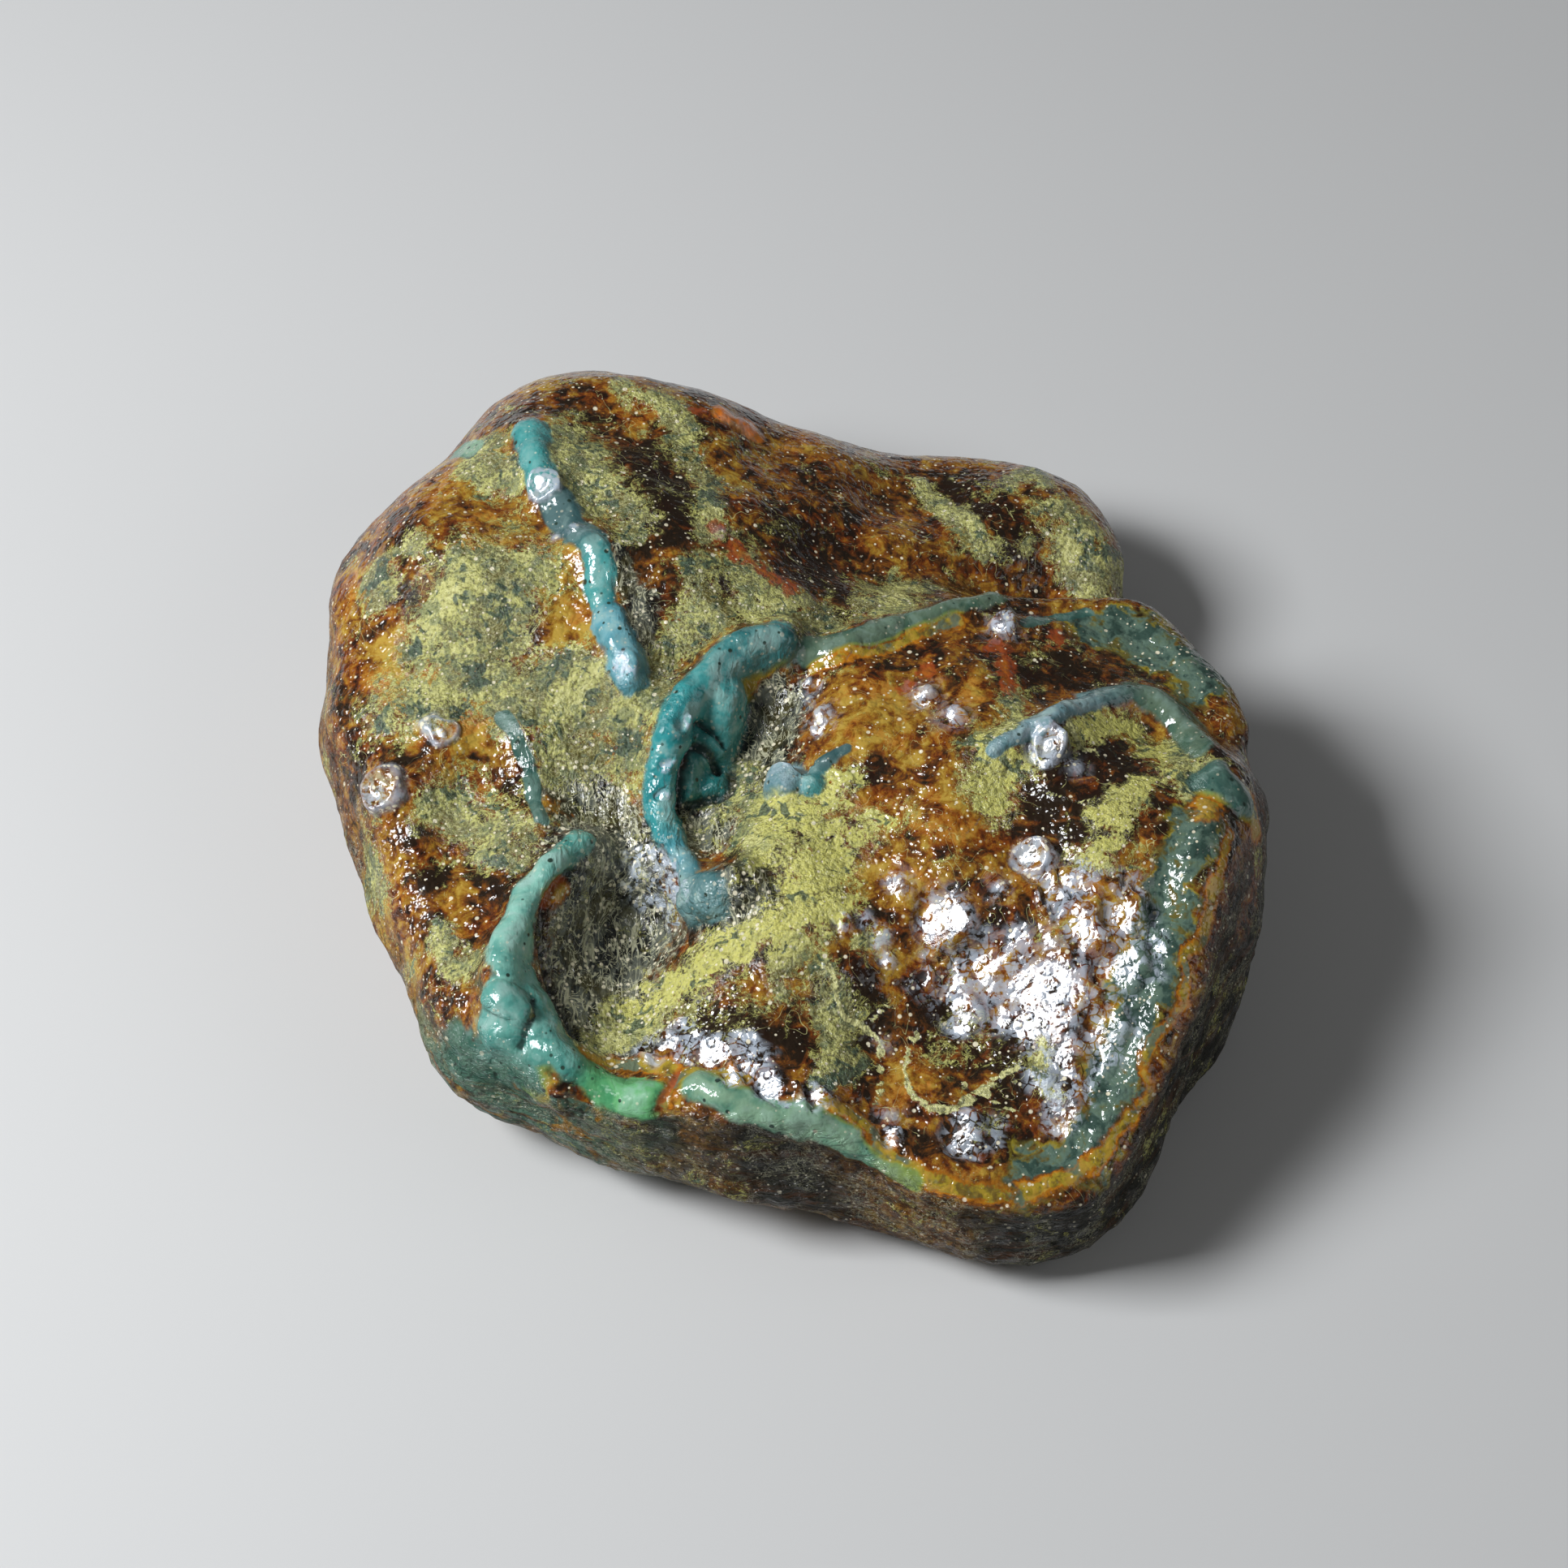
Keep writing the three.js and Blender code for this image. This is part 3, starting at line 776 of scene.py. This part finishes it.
def ground(p, grain):
    """The brown body of the stone: umber, rust and gold in curled blotches."""
    curls = p.noise(1.4, 4, 0.9, roughness=0.64)
    tone = p.add(p.add(curls, 0.8, p.centred(p.noise(6, 3, 0.6))), 0.2, p.centred(curls))
    tone = p.add(p.add(tone, 0.45, p.centred(p.noise(0.9, 3, 0.6))), 0.4, p.centred(grain))
    tone = p.add(p.add(tone, 0.20, p.mask("warm")), -0.22, p.mask("umber"))
    color = p.shades(tone, (0.35, UMBER), (0.44, BROWN), (0.53, RUST), (0.66, OCHRE), (0.79, GOLD))
    ruddy = p.times(p.ramp(p.noise(2.0, 3, 0.8), 0.46, 0.62), 0.8)
    color = p.mix(ruddy, color, (1.0, 0.60, 0.50), "MULTIPLY")
    curl = p.greater(p.strands(0.9, 0.02), p.strands(0.5, 0.025))
    color = p.mix(p.times(curl, p.ramp(tone, 0.46, 0.62), 0.4), color, GOLD)
    return p.mix(p.times(p.strands(3.0, 0.005), p.ramp(p.noise(4.0), 0.48, 0.56), 0.7), color, LICHEN)


def walls(p, color, grain):
    """The sides: dark grey bands and pale fibres, a green foot, and golden streaks on the left. The dark
    bands are partly painted shade, on the walls that face away from the light.
    """
    bands = p.noise(1.2, 4, 0.8, p.stretched(0, (4, 4, 0.8)), 0.6)
    dark = p.shades(bands, (0.36, WALL_DARK), (0.50, WALL_GREY), (0.66, BROWN))
    streaks = p.noise(0.9, 4, 1.0, p.stretched(-15, (1, 3.5, 1)), 0.6)
    left = p.shades(streaks, (0.36, UMBER), (0.47, RUST), (0.56, OCHRE), (0.68, GOLD))
    wall = p.mix(p.mask("left"), dark, p.mix(0.7, color, left))
    green = p.mix(p.ramp(p.noise(2.6, 4, 0.8), 0.55, 0.64), WALL_GREEN, OCHRE)
    wall = p.mix(p.times(p.mask("foot"), p.ramp(bands, 0.34, 0.54)), wall, green)
    wall = p.mix(p.times(p.ramp(p.noise(0.7, 4, 1.0), 0.50, 0.40), 0.6), wall, WALL_DARK)
    net = p.greater(p.strands(0.7, 0.03, p.stretched(-20, (1.8, 1, 1))), p.strands(0.45, 0.04))
    wall = p.mix(p.times(net, p.ramp(p.noise(2.4, 3), 0.44, 0.58), 0.4), wall, STRAW)
    return p.mix(p.ramp(p.add(p.mask("wall"), 0.9, p.centred(grain)), 0.30, 0.70), color, wall)


def hollows(p, color, grain):
    """Charcoal hollows, matted with strands down the slope to the right, with painted shade beside two
    ridges, and painted glints and sheen in their pale strands and grey. Also gives where they are.
    """
    dark = p.ramp(p.add(p.mask("dark"), 1.2, p.centred(grain)), 0.34, 0.62)
    slope = p.stretched(60, (0.7, 2.6, 1))
    # The pale strands are partly the hollow's fibres, partly painted glints; the grey is raised by painted
    # sheen.
    matted = p.greater(p.strands(1.4, 0.035, slope), p.strands(0.8, 0.028))
    tone = p.add(p.noise(1.3, 4, 0.8, slope), 0.3, p.centred(grain))
    shade = p.mix(p.ramp(tone, 0.44, 0.58), CHARCOAL, HOLLOW_GREY_AND_SHEEN)
    shade = p.mix(p.times(p.ramp(p.noise(2.5), 0.48, 0.62), 0.35), shade, OLIVE)
    shade = p.mix(p.times(matted, p.ramp(p.noise(1.2), 0.34, 0.46)), shade, STRAW)
    return p.mix(dark, color, shade), dark


def fuzz_layer(p, color, grain, fine):
    """Olive, lichen-like growth with a feathered rim, pale curls and dark green gaps."""
    tufts = p.add(p.noise(1.6, 5, 0.9, roughness=0.66), 0.6, p.centred(p.noise(3.5, 2)))
    growth = p.add(p.mask("fuzz"), 2.0, p.centred(tufts))
    veil = p.times(p.ramp(growth, 0.10, 0.50), p.ramp(fine, 0.40, 0.60), 0.7)
    color = p.mix(veil, color, p.mix(p.ramp(grain, 0.4, 0.6), OLIVE, GREY_OLIVE))
    threads = p.greater(p.strands(0.9, 0.03), p.strands(0.5, 0.035))
    color = p.mix(p.times(threads, p.ramp(growth, 0.16, 0.40)), color, PALE_OLIVE)
    fuzz = p.ramp(p.add(growth, 0.5, p.centred(fine)), 0.42, 0.54)
    bloom = p.add(p.add(p.noise(2.6, 4, 0.5), 0.15, growth), 0.7, p.centred(fine))
    shade = p.shades(bloom, (0.44, OLIVE), (0.58, GREY_OLIVE), (0.70, PALE_OLIVE), (0.88, LICHEN))
    bright = p.ramp(p.mask("bright"), 0.15, 0.6)
    shade = p.mix(p.times(bright, p.ramp(bloom, 0.38, 0.56)), shade, LEMON)
    curls = p.greater(p.strands(0.8, 0.03), p.strands(0.4, 0.04))
    shade = p.mix(p.times(curls, 0.5), shade, LICHEN)
    shade = p.mix(p.times(p.ramp(fine, 0.50, 0.36), 0.5), shade, OLIVE)
    shady = p.times(p.ramp(p.noise(1.3, 4, 0.9, roughness=0.6), 0.50, 0.38), p.add(0.5, -0.35, bright))
    shade = p.mix(shady, shade, SEA_MOSS)
    gap = p.add(p.add(p.noise(0.9, 4, 1.0), 0.9, p.centred(p.noise(3.0, 2))), 0.04, bright)
    mossy = p.mix(p.ramp(fine, 0.4, 0.6), MOSS, SEA_MOSS)
    shade = p.mix(p.times(p.ramp(gap, 0.43, 0.34), 0.85), shade, mossy)
    color = p.mix(fuzz, color, shade)
    vine = p.ramp(p.add(p.mask("vine"), 0.7, p.centred(fine)), 0.40, 0.54)
    frills = p.mix(p.ramp(p.noise(0.35, 4), 0.38, 0.52), GREY_OLIVE, LICHEN)
    return p.mix(vine, color, frills)


def edge_layer(p, color, grain):
    """The rims: a grey-teal band in an olive border, and yellow lines outlined in orange and red."""
    band = p.add(p.add(p.mask("band"), 1.1, p.centred(p.noise(1.5, 4, 0.8))), 0.4, p.centred(grain))
    clouds = p.add(p.noise(1.8, 4, 0.9), 0.4, p.centred(grain))
    glassy = p.shades(clouds, (0.42, DEEP_SAGE), (0.52, BAND_TEAL), (0.60, SAGE), (0.66, OLIVE))
    border = p.mix(p.ramp(p.noise(1.2, 3), 0.45, 0.6), OLIVE, YELLOW)
    glassy = p.mix(p.ramp(band, 0.58, 0.44), glassy, border)
    color = p.mix(p.ramp(band, 0.28, 0.54), color, glassy)
    edge = p.add(p.mask("edge"), 1.0, p.centred(grain))
    fiery = p.ramp(p.noise(2.4, 3), 0.38, 0.54)
    color = p.mix(p.times(p.ramp(edge, 0.24, 0.40), fiery), color, RUST)
    color = p.mix(p.times(p.ramp(edge, 0.36, 0.54), p.greater(fiery, 0.4)), color, ORANGE)
    inner = p.shades(clouds, (0.38, OLIVE), (0.46, YELLOW), (0.60, GOLD))
    inner = p.mix(p.ramp(fiery, 0.0, 0.5), SAGE, inner)
    return p.mix(p.times(p.ramp(edge, 0.54, 0.72), 0.85), color, inner)


def wax_layer(p, color):
    """Cloudy blue-green wax with a yellow rim and dark pinholes, darker towards its edges as painted shade
    and paler on its high crests as painted light. Also gives where it is.
    """
    soft = p.noise(1.6, 4, 0.5)
    cover = p.add(p.mask("wax"), 0.5, p.centred(soft))
    wax = p.ramp(cover, 0.38, 0.56)
    tint = p.color("wax_color")
    deep_shade = p.mix(1.0, tint, (0.45, 0.66, 0.68), "MULTIPLY")
    pale = p.mix(0.5, tint, PALE_WAX)
    depth = p.add(soft, 0.4, p.mask("wax"))
    # Painted shade: a darker tint towards the wax's edges. Painted light: paler on the high crests.
    shade = p.mix(p.ramp(depth, 0.62, 0.84), deep_shade, tint)
    shade = p.mix(p.times(p.ramp(depth, 0.80, 0.96), p.mask("crest")), shade, pale)
    shade = p.mix(p.times(p.ramp(p.noise(1.0, 4, 0.8), 0.50, 0.64), 0.3), shade, pale)
    rim = p.times(p.ramp(cover, 0.68, 0.48), p.ramp(p.mask("edge"), 0.05, 0.35))
    shade = p.mix(rim, shade, p.mix(p.ramp(soft, 0.44, 0.56), LIME, YELLOW))
    shade = p.mix(p.specks(0.8, 0.12), shade, MOSS)
    return p.mix(wax, color, shade), wax


def accents(p, color, grain):
    """Red blush, dark grooves with painted shade, pale cups, and milk with a painted highlight glow on the
    rims and droplets. Also gives where that milk lies.
    """
    blush = p.add(p.add(p.mask("blush"), 1.2, p.centred(grain)), 1.2, p.centred(p.noise(1.4)))
    flush = p.mix(p.ramp(p.mask("blush"), 0.7, 1.1), RED, ORANGE)
    color = p.mix(p.times(p.ramp(blush, 0.42, 0.74), 0.85), color, flush)
    # Painted shade in the creases: charcoal, turning to the edges' own red.
    groove_shade_and_red = p.mix(p.ramp(p.mask("edge"), 0.1, 0.3), CHARCOAL, RED)
    color = p.mix(p.times(p.ramp(p.mask("crease_shade"), 0.25, 0.8), 0.8), color, groove_shade_and_red)
    color = p.mix(p.times(p.mask("cup"), p.ramp(grain, 0.40, 0.60), 0.6), color, STRAW)
    # The rims and droplet tops: partly their own milk-white colour, partly a painted highlight glow.
    milk_and_highlight = p.greater(p.mask("rim"), p.ramp(p.mask("droplet"), 0.40, 1.0))
    milk_and_highlight = p.ramp(p.add(milk_and_highlight, 1.6, p.centred(grain)), 0.20, 1.15)
    return p.mix(p.times(milk_and_highlight, 0.65), color, MILK_AND_HIGHLIGHT), milk_and_highlight


def shards(p, color, grain, place):
    """Painted highlight: white shards with thin gaps between them, where the stone glitters."""
    shard = p.ramp(p.cells(0.7, place)["Color"], 0.1, 0.5)
    gap = p.cells(0.7, place, feature="DISTANCE_TO_EDGE")["Distance"]
    whole = p.greater(p.ramp(gap, 0.02, 0.10), p.ramp(p.noise(2.6, 4, 0.6), 0.46, 0.54))
    return p.mix(p.times(p.mask("highlight_paint"), p.ramp(grain, 0.40, 0.52), shard, whole), color, MILK_AND_HIGHLIGHT)


def glints(p, color, milk_and_highlight, dark, wax):
    """Painted glints: pale round specks, larger in the milk and the hollows, and fainter on the wax and the
    walls.
    """
    radius = p.add(p.add(0.065, 0.09, p.ramp(milk_and_highlight, 0.3, 0.6)), 0.045, dark)
    speck = p.greater(p.specks(0.42, radius), p.specks(0.9, 0.11))
    plain = p.math("SUBTRACT", 1.0, p.times(p.greater(wax, p.mask("wall")), 0.6))
    return p.mix(p.times(speck, plain, 0.9), color, PAINTED_GLINT)


def fine_relief(p, grain, fine, place):
    """Domes, beads and grain, weaker on wax and glass, with wrinkles in the hollows and on the walls."""
    soft = p.math("SUBTRACT", 1.0, p.times(p.greater(p.mask("wax"), p.mask("glass")), 0.6))
    domes = p.ramp(p.cells(0.62, place)["Distance"], 0.62, 0.24)
    beads = p.ramp(p.cells(0.28)["Distance"], 0.55, 0.15)
    rough = p.add(p.times(p.centred(grain), 0.35), 0.14, p.centred(fine))
    rough = p.times(rough, p.ramp(p.greater(p.mask("fuzz"), p.mask("vine")), 0.2, 0.6))
    height = p.times(soft, p.add(p.add(rough, 0.05, domes), 0.014, beads))
    wrinkles = p.noise(0.7, 3, 0.6, p.stretched(60, (0.7, 2.2, 1)))
    wrinkles = p.times(wrinkles, p.mask("dark"), p.ramp(p.mask("glass"), 0.6, 0.1))
    crinkles = p.noise(0.55, 4, 1.2, p.stretched(-20, (1.8, 1, 0.8)))
    return p.add(p.add(height, 0.4, wrinkles), 0.6, p.times(crinkles, p.mask("wall")))


def wet_coat(p):
    """How strong the wet coat is: broken on the walls, and weaker where the wax is matte."""
    shiny = p.ramp(p.noise(1.1, 3, 0.8), 0.44, 0.62)
    dull = p.greater(p.times(p.mask("wall"), p.add(0.8, -0.5, shiny)), p.mask("matte"))
    return p.math("SUBTRACT", 1.0, dull)


def amber_material():
    """The whole finish: layers of colour from the ground up, then the finest relief and the wet coat."""
    p = Paint("mottled_amber")
    grain = p.noise(0.6, 5, 0.3, roughness=0.62)
    fine = p.noise(0.24, 3, roughness=0.6)
    place = p.drifted(1.0, 0.4)
    color = ground(p, grain)
    color = walls(p, color, grain)
    color, dark = hollows(p, color, grain)
    color = fuzz_layer(p, color, grain, fine)
    color = edge_layer(p, color, grain)
    color, wax = wax_layer(p, color)
    color, milk_and_highlight = accents(p, color, grain)
    color = shards(p, color, grain, place)
    color = glints(p, color, milk_and_highlight, dark, wax)
    normal = p.bump(fine_relief(p, grain, fine, place))
    p.feed(p.shader.inputs, {
        "Base Color": color,
        "Normal": normal,
        "Coat Normal": normal,
        "Coat Weight": wet_coat(p),
        "Coat Roughness": 0.11,
        "Coat IOR": 1.55,
        "Roughness": 0.5,
        "Specular IOR Level": 0.05,
    })
    return p.material


# ---- Stage, in metres and degrees ----
LIGHT_COLOR = (0.95, 0.97, 1.0)
ROOM_LIGHT = 0.07
FLOOR_COLOR = (0.70, 0.70, 0.69)
FLOOR_SIZE = 4.0
CAMERA_ELEVATION = 52  # above the horizon, from the front
CAMERA_DISTANCE = 0.256
CAMERA_LENS = 90  # millimetres, as is the sensor's width
SENSOR_WIDTH = 36
LOOK_RIGHT = -0.0001  # the camera's target from the middle of the stone's foot
LOOK_BACK = 0.0011
LOOK_UP = 0.007


def floor_material():
    material = bpy.data.materials.new("pale_floor")
    material.use_nodes = True
    shader = material.node_tree.nodes["Principled BSDF"]
    shader.inputs["Base Color"].default_value = (*FLOOR_COLOR, 1)
    shader.inputs["Roughness"].default_value = 0.9
    return material


def make_floor():
    bpy.ops.mesh.primitive_plane_add(size=FLOOR_SIZE)
    floor = bpy.context.object
    floor.name = "floor"
    floor.data.materials.append(floor_material())


def aim(thing, place, target):
    """Puts a light or a camera at a place, facing the target."""
    thing.location = place
    thing.rotation_euler = (target - place).to_track_quat("-Z", "Y").to_euler()


def add_light(name, target, azimuth, elevation, distance, size, power):
    """A square soft light. Azimuth 0 is at the front and 90 on the right."""
    lamp = bpy.data.lights.new(name, "AREA")
    lamp.shape = "SQUARE"
    lamp.size = size
    lamp.energy = power
    lamp.color = LIGHT_COLOR
    light = bpy.data.objects.new(name, lamp)
    bpy.context.scene.collection.objects.link(light)
    a, e = math.radians(azimuth), math.radians(elevation)
    out = Vector((math.sin(a) * math.cos(e), -math.cos(a) * math.cos(e), math.sin(e)))
    aim(light, target + out * distance, target)


def make_lights(target):
    add_light("key", target, azimuth=-80, elevation=45, distance=0.34, size=0.13, power=1.3)
    add_light("fill", target, azimuth=75, elevation=30, distance=0.5, size=0.3, power=0.25)
    world = bpy.data.worlds.new("studio")
    bpy.context.scene.world = world
    world.use_nodes = True
    background = world.node_tree.nodes["Background"]
    background.inputs["Color"].default_value = (1, 1, 1, 1)
    background.inputs["Strength"].default_value = ROOM_LIGHT


def make_camera(target):
    camera = bpy.data.objects.new("camera", bpy.data.cameras.new("camera"))
    bpy.context.scene.collection.objects.link(camera)
    camera.data.lens = CAMERA_LENS
    camera.data.sensor_width = SENSOR_WIDTH
    camera.data.clip_start = 0.01
    e = math.radians(CAMERA_ELEVATION)
    aim(camera, target + Vector((0, -math.cos(e), math.sin(e))) * CAMERA_DISTANCE, target)
    bpy.context.scene.camera = camera


# ---- The scene ----
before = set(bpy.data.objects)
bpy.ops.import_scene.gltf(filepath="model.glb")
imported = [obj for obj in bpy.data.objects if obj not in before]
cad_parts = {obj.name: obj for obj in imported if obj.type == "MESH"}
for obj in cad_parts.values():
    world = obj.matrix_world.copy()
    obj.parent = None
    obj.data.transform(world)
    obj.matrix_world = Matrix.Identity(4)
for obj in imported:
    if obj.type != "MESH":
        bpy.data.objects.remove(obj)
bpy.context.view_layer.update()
low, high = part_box(NODE)
middle = (low + high) / 2
make_camera(Vector((middle.x + LOOK_RIGHT, middle.y + LOOK_BACK, low.z + LOOK_UP)))
make_lights(middle)
make_floor()

nugget = skin_mesh(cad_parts[NODE])
shape_skin(nugget, low, high)
nugget.data.materials.append(amber_material())
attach(nugget, "root")
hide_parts(NODE)

bpy.context.scene.view_settings.view_transform = "Standard"
